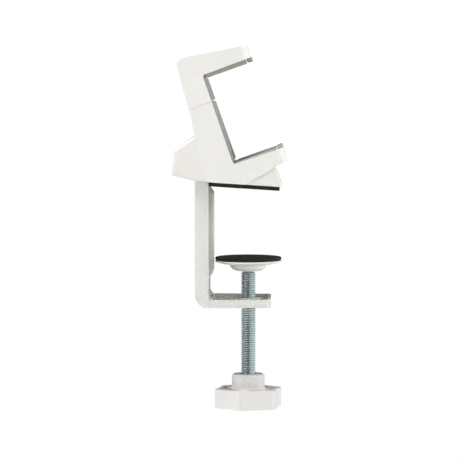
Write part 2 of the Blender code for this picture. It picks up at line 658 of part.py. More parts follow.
def knob():
    corners = []
    sharp = KNOB_RADIUS + 0.18 * KNOB_CORNER
    waist = sharp * math.cos(math.radians(30)) - KNOB_HOLLOW
    for index in range(6):
        vertex = math.radians(KNOB_TURN + 60 * index)
        middle = vertex + math.radians(30)
        corners.append((sharp * math.cos(vertex), sharp * math.sin(vertex), KNOB_CORNER))
        corners.append((waist * math.cos(middle), waist * math.sin(middle), 5 * KNOB_RADIUS))
    grip = extruded("knob", rounded(corners), KNOB_BOTTOM, KNOB_TOP)
    near, far = HUB_RADIUS + 0.8, HUB_RADIUS + 5.0
    pocket = [(near, -2.4), (far, -5.4), (far, 5.4), (near, 2.4)]
    for index in range(6):
        turn = Matrix.Rotation(math.radians(KNOB_TURN + 30 + 60 * index), 4, "Z")
        cut(grip, extruded("knob_pocket", pocket, KNOB_TOP - KNOB_POCKET, KNOB_TOP + 1, turn))
    hub = turned("knob_hub", [(0, HUB_TOP), (HUB_RADIUS - 0.8, HUB_TOP), (HUB_RADIUS, HUB_TOP - 0.8),
                              (HUB_RADIUS + 0.3, KNOB_TOP - 1), (0, KNOB_TOP - 1)])
    join(grip, hub)
    cap_top = KNOB_BOTTOM + CAP_THICKNESS + 0.2
    recess = (HEAD_ACROSS_FLATS / 2 + GAP) * 2 / math.sqrt(3)
    cut(grip, rod("knob_bore", THREAD_RADIUS + GAP, FOOT_BOTTOM - FAR, HUB_TOP + 1),
        rod("head_recess", recess, KNOB_BOTTOM - 1, SCREW_HEAD_TOP + GAP, sides=6),
        rod("cap_recess", HUB_RADIUS + GAP, KNOB_BOTTOM - 1, cap_top))
    return paint(grip, "moulding")


def knob_cap():
    cap = rod("knob_cap", HUB_RADIUS, KNOB_BOTTOM, KNOB_BOTTOM + CAP_THICKNESS)
    return paint(cap, "moulding")


# ---------------------------------------------------------------- assembly
def joint_empty(name, matrix, parent=None):
    """Empty on a joint's axis, which carries the pieces that move with the joint."""
    empty = bpy.data.objects.new(name, None)
    PARTS.objects.link(empty)
    if parent:
        empty.parent = parent
        empty.matrix_parent_inverse = parent.matrix_world.inverted()
    empty.matrix_world = matrix
    bpy.context.view_layer.update()
    return empty


def carry(empty, *pieces):
    for piece in pieces:
        world = piece.matrix_world.copy()
        piece.parent = empty
        piece.matrix_parent_inverse = empty.matrix_world.inverted()
        piece.matrix_world = world


def build():
    holder_body()
    clamp_bracket()
    table_pads()
    pads()
    for number, frame in enumerate(arm_screw_frames(), 1):
        small_screw(f"bracket_screw_{number}", BASE + ARM_SCREW_RECESS, ARM_SCREW_LENGTH, frame, 1)
    sliding = [upper_jaw(), jaw_slider(), spring_pin("spring_pin_upper", PIN_HIGH)]
    for number, frame in enumerate(slider_screw_frames(), 1):
        sliding.append(small_screw(f"slider_screw_{number}", -SLIDER_SCREW_RECESS, SLIDER_SCREW_LENGTH, frame, -1))
    spring_pin("spring_pin_lower", PIN_LOW)
    tension_spring("tension_spring_left", 1)
    tension_spring("tension_spring_right", -1)
    sliding += [bpy.data.objects[f"upper_{place_name}_pad"] for place_name in ("jaw", "back", "lip")]
    carry(joint_empty("jaw_slide_axis", CRADLE), *sliding)

    ball = Matrix.Translation((0, 0, BALL_CENTRE * MM))
    lift = joint_empty("screw_lift_axis", ball)
    carry(lift, swivel_ball(ball))
    carry(joint_empty("pad_tilt_axis", ball, lift), pressure_plate(ball), pressure_disc(ball))
    carry(joint_empty("screw_turn_axis", Matrix(), lift), clamp_screw(), knob(), knob_cap())


build()
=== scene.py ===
# %% [markdown]
# # Clamp-on table stand with a sprung cradle
#
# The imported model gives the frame: which pieces there are, where they sit and how they
# move. This script makes the surfaces a person would see and touch. Each moulding is
# drawn as a side outline, given its width, rounded while it is still simple, and then
# joined and cut. The screw thread, the springs and the knob's pockets follow rules, so
# node trees make them.
#
# +Z is the clamp screw's axis, +X the way both mouths open, and lengths are in metres.

# %% Load the frame
import json
import math

import bmesh
import bpy
from mathutils import Matrix, Vector


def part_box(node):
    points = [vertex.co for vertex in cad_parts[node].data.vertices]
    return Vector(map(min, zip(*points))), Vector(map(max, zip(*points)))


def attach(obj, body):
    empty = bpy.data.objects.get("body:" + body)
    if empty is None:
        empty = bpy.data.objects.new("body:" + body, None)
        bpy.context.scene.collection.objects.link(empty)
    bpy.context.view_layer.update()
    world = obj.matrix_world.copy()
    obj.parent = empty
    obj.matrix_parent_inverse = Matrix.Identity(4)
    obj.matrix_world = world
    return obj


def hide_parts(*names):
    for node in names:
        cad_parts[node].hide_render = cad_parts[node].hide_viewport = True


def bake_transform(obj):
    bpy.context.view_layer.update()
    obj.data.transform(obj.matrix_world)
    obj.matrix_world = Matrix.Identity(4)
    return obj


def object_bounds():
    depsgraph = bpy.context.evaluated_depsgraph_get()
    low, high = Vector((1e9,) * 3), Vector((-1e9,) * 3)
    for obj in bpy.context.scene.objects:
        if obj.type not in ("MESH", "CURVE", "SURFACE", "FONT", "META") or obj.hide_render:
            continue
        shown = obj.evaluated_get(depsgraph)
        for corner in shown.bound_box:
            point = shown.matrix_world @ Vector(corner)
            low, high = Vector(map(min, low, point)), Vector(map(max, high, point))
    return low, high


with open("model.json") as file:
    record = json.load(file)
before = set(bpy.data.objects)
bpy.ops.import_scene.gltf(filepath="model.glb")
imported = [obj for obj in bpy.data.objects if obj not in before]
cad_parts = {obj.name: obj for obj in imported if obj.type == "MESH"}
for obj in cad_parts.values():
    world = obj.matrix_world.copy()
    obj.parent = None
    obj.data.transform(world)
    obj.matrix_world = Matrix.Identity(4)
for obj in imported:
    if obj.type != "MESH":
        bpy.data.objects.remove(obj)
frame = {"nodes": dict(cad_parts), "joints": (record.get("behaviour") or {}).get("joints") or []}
cad_low, cad_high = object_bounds()
MM = 0.001
print("CAD box in mm:", [round((b - a) / MM, 1) for a, b in zip(cad_low, cad_high)])

# %% [markdown]
# ## Camera, light and floor
#
# The stand is seen from the side through a long lens, from a little above. A pale
# studio surrounds it: a soft sky that is warmer and brighter from below, and three broad
# lamps, above, at the left and at the right. Zinc only looks like metal when something
# dark stands among the light, so the sky that reflections see has a dark middle band.


# %% Camera
def aim(place, target):
    """Matrix of a camera or lamp at a place, looking at a target, with its top upwards."""
    back = (place - target).normalized()
    across = Vector((0, 0, 1)).cross(back).normalized()
    up = back.cross(across)
    turn = Matrix((across, up, back)).transposed().to_4x4()
    return Matrix.Translation(place) @ turn


AZIMUTH = math.radians(1.0)
ELEVATION = math.radians(3.66)
DISTANCE = 1.461
TARGET = Vector((-10.1, 0, -23.8)) * MM
LENS = 207.9

away = Vector((math.sin(AZIMUTH) * math.cos(ELEVATION), -math.cos(AZIMUTH) * math.cos(ELEVATION),
               math.sin(ELEVATION)))
lens = bpy.data.cameras.new("studio_camera")
lens.lens = LENS
lens.sensor_width = 36.0
lens.clip_end = 50.0
camera = bpy.data.objects.new("studio_camera", lens)
bpy.context.scene.collection.objects.link(camera)
camera.matrix_world = aim(TARGET + away * DISTANCE, TARGET)
bpy.context.scene.camera = camera
bpy.context.scene.view_settings.view_transform = "Standard"
print("camera at", [round(value, 3) for value in camera.location])


# %% Lamps
def soft_lamp(name, place, size, power, warmth, mirrored):
    """Area lamp aimed at the stand; an unmirrored one leaves no highlight on shiny metal."""
    light = bpy.data.lights.new(name, "AREA")
    light.shape = "RECTANGLE"
    light.size, light.size_y = size
    light.energy = power
    light.color = warmth
    lamp = bpy.data.objects.new(name, light)
    bpy.context.scene.collection.objects.link(lamp)
    lamp.matrix_world = aim(Vector(place), Vector((0, 0, -0.02)))
    lamp.visible_glossy = mirrored
    return lamp


soft_lamp("top_lamp", (-0.15, -0.30, 1.3), (0.7, 0.5), 15.8, (1.0, 0.985, 0.96), False)
soft_lamp("left_lamp", (-1.2, -0.8, 0.37), (0.6, 0.9), 11.4, (1.0, 0.99, 0.97), False)
soft_lamp("side_lamp", (1.2, -0.25, 0.15), (0.5, 0.9), 9.7, (0.985, 0.99, 1.0), False)


# %% Sky and floor
DOME = ((0.40, 0.385, 0.345, 1), (0.16, 0.16, 0.16, 1))     # towards the floor and overhead
BANDS = ((0.001, 0.48), (0.30, 0.42), (0.37, 0.0), (0.63, 0.0), (0.70, 1.0), (0.999, 1.1))


def studio_sky():
    """White to the eye, a pale dome to matt surfaces, dark and bright bands to shiny ones."""
    world = bpy.data.worlds.new("studio_sky")
    bpy.context.scene.world = world
    world.use_nodes = True
    nodes, links = world.node_tree.nodes, world.node_tree.links
    nodes.clear()
    place = nodes.new("ShaderNodeTexCoord")
    split = nodes.new("ShaderNodeSeparateXYZ")
    links.new(place.outputs["Generated"], split.inputs[0])

    height = nodes.new("ShaderNodeMapRange")
    height.inputs["From Min"].default_value = -1.0
    links.new(split.outputs["Z"], height.inputs["Value"])
    tint = nodes.new("ShaderNodeMix")
    tint.data_type = "RGBA"
    tint.inputs["A"].default_value, tint.inputs["B"].default_value = DOME
    links.new(height.outputs["Result"], tint.inputs["Factor"])
    dome = nodes.new("ShaderNodeBackground")
    links.new(tint.outputs["Result"], dome.inputs["Color"])

    side = nodes.new("ShaderNodeMapRange")
    side.inputs["From Min"].default_value = -1.0
    links.new(split.outputs["X"], side.inputs["Value"])
    bands = nodes.new("ShaderNodeValToRGB")
    ramp = bands.color_ramp
    for place_on_ramp, value in BANDS:
        stop = ramp.elements.new(place_on_ramp)
        stop.color = (value, value, value, 1)
    ramp.elements.remove(ramp.elements[0])
    ramp.elements.remove(ramp.elements[-1])
    links.new(side.outputs["Result"], bands.inputs["Fac"])
    mirror = nodes.new("ShaderNodeBackground")
    links.new(bands.outputs["Color"], mirror.inputs["Color"])

    white = nodes.new("ShaderNodeBackground")
    white.inputs["Color"].default_value = (1, 1, 1, 1)
    white.inputs["Strength"].default_value = 1.05
    ray = nodes.new("ShaderNodeLightPath")
    shiny = nodes.new("ShaderNodeMixShader")
    links.new(ray.outputs["Is Glossy Ray"], shiny.inputs["Fac"])
    links.new(dome.outputs[0], shiny.inputs[1])
    links.new(mirror.outputs[0], shiny.inputs[2])
    seen = nodes.new("ShaderNodeMixShader")
    links.new(ray.outputs["Is Camera Ray"], seen.inputs["Fac"])
    links.new(shiny.outputs[0], seen.inputs[1])
    links.new(white.outputs[0], seen.inputs[2])
    out = nodes.new("ShaderNodeOutputWorld")
    links.new(seen.outputs[0], out.inputs["Surface"])


def studio_floor(drop, reach):
    """Pale floor well below the stand, as under a table's edge."""
    solid = bmesh.new()
    bmesh.ops.create_grid(solid, x_segments=1, y_segments=1, size=reach)
    bmesh.ops.translate(solid, verts=solid.verts, vec=(0, 0, cad_low[2] - drop))
    mesh = bpy.data.meshes.new("studio_floor")
    solid.to_mesh(mesh)
    solid.free()
    floor = bpy.data.objects.new("studio_floor", mesh)
    bpy.context.scene.collection.objects.link(floor)
    material = bpy.data.materials.new("pale_floor")
    material.use_nodes = True
    nodes, links = material.node_tree.nodes, material.node_tree.links
    shader = nodes["Principled BSDF"]
    shader.inputs["Base Color"].default_value = (0.86, 0.86, 0.85, 1)
    shader.inputs["Roughness"].default_value = 0.8
    glow = nodes.new("ShaderNodeEmission")
    ray = nodes.new("ShaderNodeLightPath")
    mix = nodes.new("ShaderNodeMixShader")
    links.new(ray.outputs["Is Camera Ray"], mix.inputs["Fac"])
    links.new(shader.outputs[0], mix.inputs[1])
    links.new(glow.outputs[0], mix.inputs[2])
    links.new(mix.outputs[0], nodes["Material Output"].inputs["Surface"])
    mesh.materials.append(material)


studio_sky()
studio_floor(drop=0.25, reach=12.0)
print("sky and floor are in place")

# %% [markdown]
# ## Surface effects shared by several finishes
#
# A real surface is never one flat value. Three small effects carry most of that, so
# each is a node group: grain (the fine texture of a moulding tool, a powder coat or
# rubber), drift (slow changes of tone over centimetres) and an edge mask (rounded edges
# that hands have polished, which also carry a painted highlight). Groups give out masks and heights only.


# %% Node groups
def new_group(name, inputs, outputs):
    group = bpy.data.node_groups.new(name, "ShaderNodeTree")
    for socket, kind, value in inputs:
        made = group.interface.new_socket(socket, in_out="INPUT", socket_type=kind)
        if value is not None:
            made.default_value = value
    for socket in outputs:
        group.interface.new_socket(socket, in_out="OUTPUT", socket_type="NodeSocketFloat")
    entry = group.nodes.new("NodeGroupInput")
    result = group.nodes.new("NodeGroupOutput")
    return group, entry, result


def grain_group():
    """Height made of a fine grain and a broader ripple."""
    group, entry, result = new_group("surface_grain", [
        ("Place", "NodeSocketVector", None), ("Fine Size", "NodeSocketFloat", 0.0003),
        ("Ripple Size", "NodeSocketFloat", 0.002), ("Ripple Share", "NodeSocketFloat", 0.3)], ["Height"])
    heights = []
    for socket, detail in (("Fine Size", 3.0), ("Ripple Size", 1.0)):
        scale = group.nodes.new("ShaderNodeMath")
        scale.operation = "DIVIDE"
        scale.inputs[0].default_value = 1.0
        group.links.new(entry.outputs[socket], scale.inputs[1])
        noise = group.nodes.new("ShaderNodeTexNoise")
        noise.inputs["Detail"].default_value = detail
        group.links.new(entry.outputs["Place"], noise.inputs["Vector"])
        group.links.new(scale.outputs[0], noise.inputs["Scale"])
        heights.append(noise.outputs["Fac"])
    mix = group.nodes.new("ShaderNodeMix")
    group.links.new(entry.outputs["Ripple Share"], mix.inputs["Factor"])
    group.links.new(heights[0], mix.inputs["A"])
    group.links.new(heights[1], mix.inputs["B"])
    group.links.new(mix.outputs["Result"], result.inputs["Height"])
    return group


def drift_group():
    """Slow change between 0 and 1 over the piece."""
    group, entry, result = new_group("tone_drift", [
        ("Place", "NodeSocketVector", None), ("Size", "NodeSocketFloat", 0.03),
        ("Contrast", "NodeSocketFloat", 2.0)], ["Mask"])
    scale = group.nodes.new("ShaderNodeMath")
    scale.operation = "DIVIDE"
    scale.inputs[0].default_value = 1.0
    group.links.new(entry.outputs["Size"], scale.inputs[1])
    noise = group.nodes.new("ShaderNodeTexNoise")
    noise.inputs["Detail"].default_value = 4.0
    group.links.new(entry.outputs["Place"], noise.inputs["Vector"])
    group.links.new(scale.outputs[0], noise.inputs["Scale"])
    centre = group.nodes.new("ShaderNodeMath")
    centre.operation = "SUBTRACT"
    centre.inputs[1].default_value = 0.5
    group.links.new(noise.outputs["Fac"], centre.inputs[0])
    spread = group.nodes.new("ShaderNodeMath")
    spread.operation = "MULTIPLY_ADD"
    spread.use_clamp = True
    spread.inputs[2].default_value = 0.5
    group.links.new(centre.outputs[0], spread.inputs[0])
    group.links.new(entry.outputs["Contrast"], spread.inputs[1])
    group.links.new(spread.outputs[0], result.inputs["Mask"])
    return group


def wear_and_highlight_group():
    """Mask of the convex edges, broken up by a fine noise: where real wear goes, and where a painted highlight
    lightens the rims.
    """
    group, entry, result = new_group("edge_wear", [
        ("Place", "NodeSocketVector", None), ("Start", "NodeSocketFloat", 0.52),
        ("Full", "NodeSocketFloat", 0.60)], ["Mask"])
    shape = group.nodes.new("ShaderNodeNewGeometry")
    ramp = group.nodes.new("ShaderNodeMapRange")
    group.links.new(shape.outputs["Pointiness"], ramp.inputs["Value"])
    group.links.new(entry.outputs["Start"], ramp.inputs["From Min"])
    group.links.new(entry.outputs["Full"], ramp.inputs["From Max"])
    noise = group.nodes.new("ShaderNodeTexNoise")
    noise.inputs["Scale"].default_value = 900.0
    group.links.new(entry.outputs["Place"], noise.inputs["Vector"])
    product = group.nodes.new("ShaderNodeMath")
    product.operation = "MULTIPLY"
    group.links.new(ramp.outputs["Result"], product.inputs[0])
    group.links.new(noise.outputs["Fac"], product.inputs[1])
    group.links.new(product.outputs[0], result.inputs["Mask"])
    return group


GRAIN, DRIFT, WEAR_AND_HIGHLIGHT = grain_group(), drift_group(), wear_and_highlight_group()
print("node groups:", GRAIN.name, DRIFT.name, WEAR_AND_HIGHLIGHT.name)

# %% [markdown]
# ## Finishes
#
# All finishes share one recipe: two close tones mixed by the drift mask, a lighter or
# darker tone on the convex edges (real wear and scuffs, and a painted highlight on the
# rims), roughness that follows the same drift, and a bump from the grain. What differs
# is the numbers, so one function builds them and a short table names the finishes. The
# recipe reads object coordinates, because every piece keeps its place in its mesh.


# %% Recipe for a finish
def new_finish(name, tones, edge_tone, roughness, grain, metallic=0.0, drift_size=0.03, streaks=None):
    """tones and roughness are pairs; grain is (fine size, ripple size, ripple share, depth)."""
    material = bpy.data.materials.new(name)
    material.use_nodes = True
    nodes, links = material.node_tree.nodes, material.node_tree.links
    shader = nodes["Principled BSDF"]
    shader.inputs["Metallic"].default_value = metallic
    where = nodes.new("ShaderNodeTexCoord").outputs["Object"]
    drift = nodes.new("ShaderNodeGroup")
    drift.node_tree = DRIFT
    drift.inputs["Size"].default_value = drift_size
    rim_wear_and_highlight = nodes.new("ShaderNodeGroup")
    rim_wear_and_highlight.node_tree = WEAR_AND_HIGHLIGHT
    texture = nodes.new("ShaderNodeGroup")
    texture.node_tree = GRAIN
    for socket, value in zip(("Fine Size", "Ripple Size", "Ripple Share"), grain):
        texture.inputs[socket].default_value = value
    for group in (drift, rim_wear_and_highlight, texture):
        links.new(where, group.inputs["Place"])
    tone = nodes.new("ShaderNodeMix")
    tone.data_type = "RGBA"
    tone.inputs["A"].default_value = (*tones[0], 1)
    tone.inputs["B"].default_value = (*tones[1], 1)
    links.new(drift.outputs["Mask"], tone.inputs["Factor"])
    # Edge tone: real wear and scuffs, and a painted highlight on the rounded rims.
    rim_worn_and_lit = nodes.new("ShaderNodeMix")
    rim_worn_and_lit.data_type = "RGBA"
    rim_worn_and_lit.inputs["B"].default_value = (*edge_tone, 1)
    links.new(rim_wear_and_highlight.outputs["Mask"], rim_worn_and_lit.inputs["Factor"])
    links.new(tone.outputs["Result"], rim_worn_and_lit.inputs["A"])
    links.new(rim_worn_and_lit.outputs["Result"], shader.inputs["Base Color"])
    rough = nodes.new("ShaderNodeMapRange")
    rough.inputs["To Min"].default_value, rough.inputs["To Max"].default_value = roughness
    links.new(drift.outputs["Mask"], rough.inputs["Value"])
    links.new(rough.outputs["Result"], shader.inputs["Roughness"])
    height = texture.outputs["Height"]
    if streaks:
        height = add_streaks(nodes, links, where, height, streaks)
    bump = nodes.new("ShaderNodeBump")
    bump.inputs["Distance"].default_value = grain[3]
    links.new(height, bump.inputs["Height"])
    links.new(bump.outputs["Normal"], shader.inputs["Normal"])
    return material


def add_streaks(nodes, links, where, height, streaks):
    """Fine lines drawn by a tool, stretched along the axes given by the three scales."""
    stretch = nodes.new("ShaderNodeMapping")
    stretch.inputs["Scale"].default_value = streaks
    lines = nodes.new("ShaderNodeTexNoise")
    lines.inputs["Scale"].default_value = 1.0
    links.new(where, stretch.inputs["Vector"])
    links.new(stretch.outputs["Vector"], lines.inputs["Vector"])
    both = nodes.new("ShaderNodeMath")
    both.operation = "ADD"
    links.new(height, both.inputs[0])
    links.new(lines.outputs["Fac"], both.inputs[1])
    return both.outputs[0]


# Each finish's third value is its edge tone, lighter than the body: real wear and scuffs, and a painted
# highlight on the rims.
MOULDING = new_finish("satin_white_moulding", ((0.815, 0.81, 0.79), (0.85, 0.845, 0.825)),
                      (0.88, 0.88, 0.87), (0.40, 0.50), (0.00025, 0.003, 0.25, 0.000012))
# The powder coat is a duller white than the moulding, and darker still as painted shade for the dimmer light
# low on the stand.
SHADED_POWDER_COAT = new_finish("white_powder_coat", ((0.675, 0.675, 0.65), (0.71, 0.705, 0.68)),
                         (0.86, 0.86, 0.84), (0.30, 0.40), (0.0009, 0.0022, 0.5, 0.00005))
# The knob's white is the moulding's white made darker: painted shade for the dimmer light low on the stand.
KNOB_SHADED_WHITE = new_finish("satin_white_knob", ((0.755, 0.745, 0.735), (0.79, 0.78, 0.77)), (0.84, 0.83, 0.82),
                        (0.38, 0.48), (0.00025, 0.003, 0.25, 0.000012))
LINING = new_finish("grey_soft_lining", ((0.33, 0.33, 0.31), (0.40, 0.40, 0.375)),
                    (0.46, 0.46, 0.44), (0.80, 0.92), (0.0004, 0.0015, 0.4, 0.00006), drift_size=0.012)
RUBBER = new_finish("black_rubber", ((0.007, 0.006, 0.005), (0.014, 0.012, 0.010)),
                    (0.03, 0.028, 0.025), (0.72, 0.88), (0.0005, 0.002, 0.35, 0.00005), drift_size=0.015)
ZINC = new_finish("blue_zinc_plate", ((0.50, 0.60, 0.62), (0.60, 0.69, 0.71)),
                  (0.78, 0.83, 0.84), (0.16, 0.26), (0.0006, 0.003, 0.3, 0.000002), metallic=1.0,
                  drift_size=0.008, streaks=(400, 400, 2500))
SPRING_STEEL = new_finish("drawn_spring_steel", ((0.42, 0.42, 0.43), (0.54, 0.54, 0.55)),
                          (0.62, 0.62, 0.62), (0.25, 0.38), (0.0003, 0.001, 0.3, 0.00001),
                          metallic=1.0, drift_size=0.005)
ACETAL = new_finish("natural_acetal", ((0.60, 0.60, 0.57), (0.66, 0.66, 0.63)), (0.72, 0.72, 0.70),
                    (0.35, 0.48), (0.0004, 0.002, 0.3, 0.00002))
print("finishes:", [material.name for material in bpy.data.materials])

# %% [markdown]
# ## Drawing and cutting
#
# Every moulding and casting is a flat outline with a width. One block per simple body
# is drawn with sharp corners and gets its rounded edges while it is still simple,
# each edge with a radius of its own, as a draughtsman would note them. Only then are
# the blocks joined and cut. That keeps the rounding clean: the joints between blocks
# stay crisp, as they are where two faces of a moulding tool meet.

# %% Frames of reference
slide = next(joint for joint in frame["joints"] if joint["name"] == "jaw_slide")
SPINE = Vector(slide["axis"])                        # up the cradle's spine
CORNER = Vector((-7.8, 0, 13.1)) * MM                # lower inner corner of the cradle
CRADLE = Matrix.Translation(CORNER) @ Matrix.Rotation(math.atan2(SPINE.x, SPINE.z), 4, "Y")
CRADLE_MM = Matrix.Scale(1 / MM, 4) @ CRADLE @ Matrix.Scale(MM, 4)
UPRIGHT = Matrix()
TABLE = Matrix.Rotation(math.radians(3.78), 4, "Y")  # underside, before the clamp flattens it
SIDE = Matrix.Rotation(math.radians(90), 4, "X")     # brings an outline's second axis upright
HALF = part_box("upper_jaw")[1][1] / MM                # half the cradle's width
BASE = 2.25                                          # housing's rim above the table
GAP = 0.3
FAR = 90.0                                           # past the whole part
print("cradle leans back", round(-math.degrees(math.atan2(SPINE.x, SPINE.z)), 1), "degrees")


# %% Solids
def from_bmesh(name, solid):
    mesh = bpy.data.meshes.new(name)
    solid.to_mesh(mesh)
    solid.free()
    made = bpy.data.objects.new(name, mesh)
    bpy.context.scene.collection.objects.link(made)
    return made


def extruded(name, outline, low, high, matrix=UPRIGHT):
    """Solid of an outline in millimetres, drawn out along the frame's Z from low to high."""
    solid = bmesh.new()
    base = solid.faces.new([solid.verts.new((*point[:2], low)) for point in outline])
    lifted = bmesh.ops.extrude_face_region(solid, geom=[base])["geom"]
    top = [item for item in lifted if isinstance(item, bmesh.types.BMVert)]
    bmesh.ops.translate(solid, verts=top, vec=(0, 0, high - low))
    bmesh.ops.recalc_face_normals(solid, faces=solid.faces)
    bmesh.ops.transform(solid, matrix=matrix @ Matrix.Scale(MM, 4), verts=solid.verts)
    return from_bmesh(name, solid)


def beside(name, outline, half, matrix=UPRIGHT):
    """Side outline drawn out evenly to both sides of the middle plane."""
    return extruded(name, outline, -half, half, matrix @ SIDE)


def block(name, low, high, matrix=UPRIGHT):
    corners = [(low[0], low[1]), (high[0], low[1]), (high[0], high[1]), (low[0], high[1])]
    return extruded(name, corners, low[2], high[2], matrix)


def ring_of_points(radius, sides, turn=0.0):
    angles = [turn + 2 * math.pi * side / sides for side in range(sides)]
    return [(radius * math.cos(angle), radius * math.sin(angle)) for angle in angles]


def round_bar(name, radius, low, high, matrix=UPRIGHT, sides=48):
    return extruded(name, ring_of_points(radius, sides), low, high, matrix)


def turned(name, profile, matrix=UPRIGHT, sides=96):
    """Lathe a (radius, z) profile in millimetres about Z; it starts and ends on the axis."""
    solid = bmesh.new()
    points = [solid.verts.new((radius, 0, height)) for radius, height in profile]
    wires = [solid.edges.new(pair) for pair in zip(points, points[1:])]
    bmesh.ops.spin(solid, geom=points + wires, cent=(0, 0, 0), axis=(0, 0, 1),
                   angle=2 * math.pi, steps=sides, use_merge=True)
    bmesh.ops.remove_doubles(solid, verts=solid.verts, dist=0.0001)
    bmesh.ops.recalc_face_normals(solid, faces=solid.faces)
    bmesh.ops.transform(solid, matrix=matrix @ Matrix.Scale(MM, 4), verts=solid.verts)
    return from_bmesh(name, solid)


# %% Joining and cutting
def applied(shape):
    """Swap a shape's mesh for what its modifiers make of it."""
    bpy.context.view_layer.update()
    seen = shape.evaluated_get(bpy.context.evaluated_depsgraph_get())
    mesh = bpy.data.meshes.new_from_object(seen)
    old = shape.data
    shape.modifiers.clear()
    shape.data = mesh
    bpy.data.meshes.remove(old)
    mesh.name = shape.name
    return shape


def combine(target, operation, *tools):
    for tool in tools:
        step = target.modifiers.new("combine", "BOOLEAN")
        step.operation = operation
        step.object = tool
        step.solver = "EXACT"
    applied(target)
    for tool in tools:
        bpy.data.objects.remove(tool)
    return target


def cut(target, *tools):
    return combine(target, "DIFFERENCE", *tools)


def join(target, *tools):
    return combine(target, "UNION", *tools)


def keep(target, *tools):
    return combine(target, "INTERSECT", *tools)


# %% Rounding, shading and handing over
WIDEST = 10.0                   # largest rounding that edge weights can ask for


def round_edges(shape, radius_of, matrix=UPRIGHT, segments=5):
    """Round each edge by radius_of(a, b, middle), points in millimetres in the given frame.

    Known fault: only a shape's first rounding works. A second one puts its weights in a new
    layer, which the bevel doesn't read, so the rims of the cradle mouldings, the bracket
    casting and the knob stay sharp, and a few leftover edges are rounded once more.
    """
    solid = bmesh.new()
    solid.from_mesh(shape.data)
    bmesh.ops.remove_doubles(solid, verts=solid.verts, dist=0.000002)
    bmesh.ops.dissolve_limit(solid, angle_limit=math.radians(0.5), verts=solid.verts, edges=solid.edges)
    weights = solid.edges.layers.float.new("bevel_weight_edge")
    inverse = matrix.inverted()
    for edge in solid.edges:
        if edge.is_manifold and edge.calc_face_angle(0) > math.radians(13):
            a, b = (inverse @ corner.co / MM for corner in edge.verts)
            edge[weights] = radius_of(a, b, (a + b) / 2) / WIDEST
    solid.to_mesh(shape.data)
    solid.free()
    bevel = shape.modifiers.new("edges", "BEVEL")
    bevel.limit_method = "WEIGHT"
    bevel.width = WIDEST * MM
    bevel.segments = segments
    bevel.use_clamp_overlap = False
    bevel.loop_slide = False
    return applied(shape)


def smooth(shape, sharp_angle=35.0):
    """Shade round parts smooth while flat faces and crisp joints keep their look."""
    shape.data.shade_smooth()
    shape.data.set_sharp_from_angle(angle=math.radians(sharp_angle))
    weighted = shape.modifiers.new("shading", "WEIGHTED_NORMAL")
    weighted.keep_sharp = True
    return applied(shape)


def finished(shape, finish, body, node):
    """Give a piece its finish, its body and the CAD node it stands for."""
    shape.data.materials.clear()
    shape.data.materials.append(finish)
    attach(shape, body)
    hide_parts(node)
    print(f"{shape.name}: {len(shape.data.polygons)} faces, on {body}")
    return shape


# %% [markdown]
# ## Cradle mouldings
#
# The cradle is one C split across its spine: the lower part belongs to the housing and
# the upper part slides. The heel, the inner corners and the jaw tips are rounded. The
# long rims were meant to be soft too, but stay sharp: see the note in round_edges. What
# the slide uncovers is here too: the guide plate's slot and the springs' channels.

# %% Cradle sizes, in millimetres
MOUTH = 51.0                    # bare jaw face to bare jaw face
REACH = 28.3
PARTING, SEAM = 35.8, 0.1
SPINE_DEPTH = 12.9
PAD_FACE, UPPER_PAD_FACE = 1.0, 2.1
LIP_DEPTH, LIP_RIB, PAD_MARGIN = 2.5, 0.9, 1.6
PLATE_DEPTH, PLATE_HALF = 7.3, 13.25
SPRING_SIDE = HALF - 9.0
PIN_LOW, PIN_HIGH = 3.0, 40.6
TIP_ROUND, JAW_ROUND, SPINE_ROUND, BACK_ROUND, CRISP = 4.3, 1.8, 0.9, 1.3, 0.12


# %% Details that both mouldings share
def large_radius(a, b, middle):
    """First the large roundings: heel, inner corners and the tips in plan."""
    u, v = middle.x, middle.z
    if abs(a.y - b.y) > 1:
        if abs(u) < 1 and abs(v - PARTING) > 1:
            return 1.3
        return 5.0 if u < -SPINE_DEPTH + 4 and v > MOUTH else 0.0
    return TIP_ROUND if abs(u - REACH) < 1 else 0.0


def rim_radius(a, b, middle):
    """Then the rims all round, which the fault in round_edges leaves sharp."""
    u, v = middle.x, middle.z
    if abs(v - PARTING) < 0.5:
        return CRISP
    if -1.5 < v < MOUTH + 1.5 and u > -1:
        if u > REACH - TIP_ROUND:
            return 0.9
        return JAW_ROUND if u > 2.5 else SPINE_ROUND
    if v < -3 and u > -3:
        return 0.9 if u > REACH - TIP_ROUND else 0.6
    return BACK_ROUND


def rounded_c(name, outline):
    shape = beside(name, outline, HALF, CRADLE)
    shape = round_edges(shape, large_radius, CRADLE, 8)
    return round_edges(shape, rim_radius, CRADLE, 5)


def lip_rib(v_low, v_high):
    start, side = REACH - LIP_DEPTH - LIP_RIB, HALF - PAD_MARGIN
    rib = block("rib", (start, -side, v_low), (start + LIP_RIB - GAP, side, v_high), CRADLE)
    return round_edges(rib, lambda *_: 0.2, segments=2)


def guide_slot(low, high):
    reach, half = 1.7 + GAP, PLATE_HALF + 0.45
    return block("slot", (-PLATE_DEPTH - reach, -half, low), (-PLATE_DEPTH + reach, half, high), CRADLE)


def spring_channels(low, high):
    for side in (-SPRING_SIDE, SPRING_SIDE):
        place = CRADLE @ Matrix.Translation(Vector((-PLATE_DEPTH, side, 0)) * MM)
        yield round_bar("channel", 2.9, low, high, place, 40)


